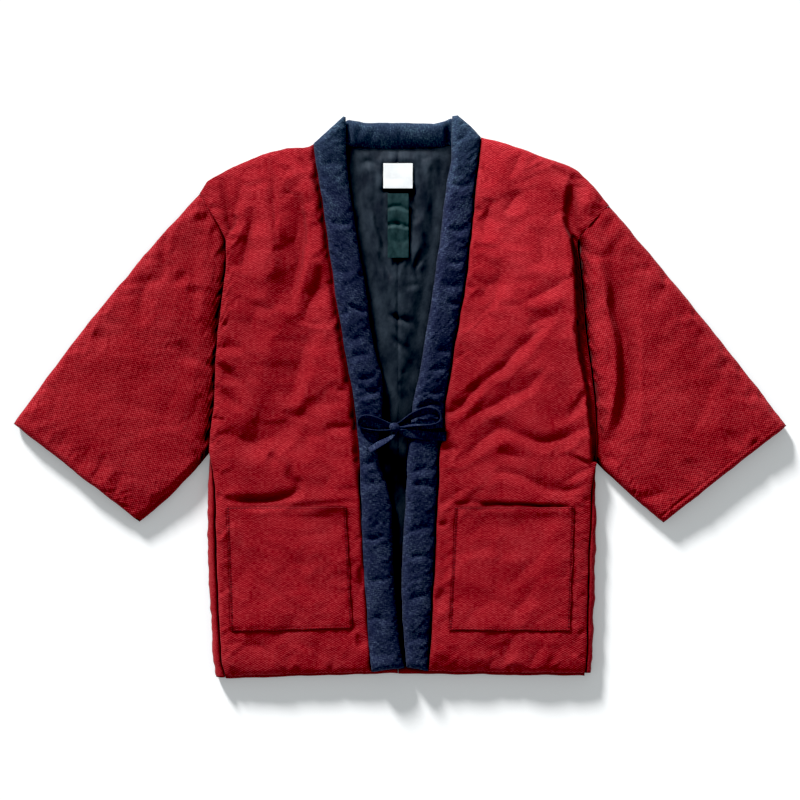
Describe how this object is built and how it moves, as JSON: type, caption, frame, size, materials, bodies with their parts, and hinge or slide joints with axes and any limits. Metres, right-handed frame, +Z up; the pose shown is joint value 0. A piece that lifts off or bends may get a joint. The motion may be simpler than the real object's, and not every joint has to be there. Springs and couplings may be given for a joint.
{
  "type": "hanten jacket",
  "caption": "Padded hanten jacket laid flat, wide short sleeves, patch pockets, a contrasting collar band and a tied cloth fastening.",
  "frame": {"origin": "middle of the outline's box, on the surface that the jacket lies on", "axes": "+X to the jacket's right as seen from above, +Y from the hem to the neck, +Z up from the surface, out of the fronts"},
  "size_m": [1.16, 0.845, 0.05],
  "materials": {
    "padded_red": "matt dobby-woven cotton, wine red, padded",
    "padded_navy": "matt slubbed cotton, dark navy, padded",
    "tie": "matt cotton strap, dark navy",
    "lining": "soft sheen satin, near black",
    "label_white": "plain woven label, white",
    "label_green": "plain woven label, dark green"
  },
  "bodies": {
    "root": {"back_left": "padded_red", "back_right": "padded_red", "front_left": "padded_red", "front_right": "padded_red", "sleeve_left": "padded_red", "sleeve_right": "padded_red", "gusset_left": "padded_red", "gusset_right": "padded_red", "pocket_left": "padded_red", "pocket_right": "padded_red", "collar_left": "padded_navy", "collar_right": "padded_navy", "collar_neck": "padded_navy", "tie_left_root": "tie", "tie_left_loop": "tie", "tie_left_tail": "tie", "tie_right_root": "tie", "tie_right_loop": "tie", "tie_right_tail": "tie", "tie_knot": "tie", "lining_left": "lining", "lining_right": "lining", "label_white": "label_white", "label_green": "label_green"}
  },
  "joints": []
}
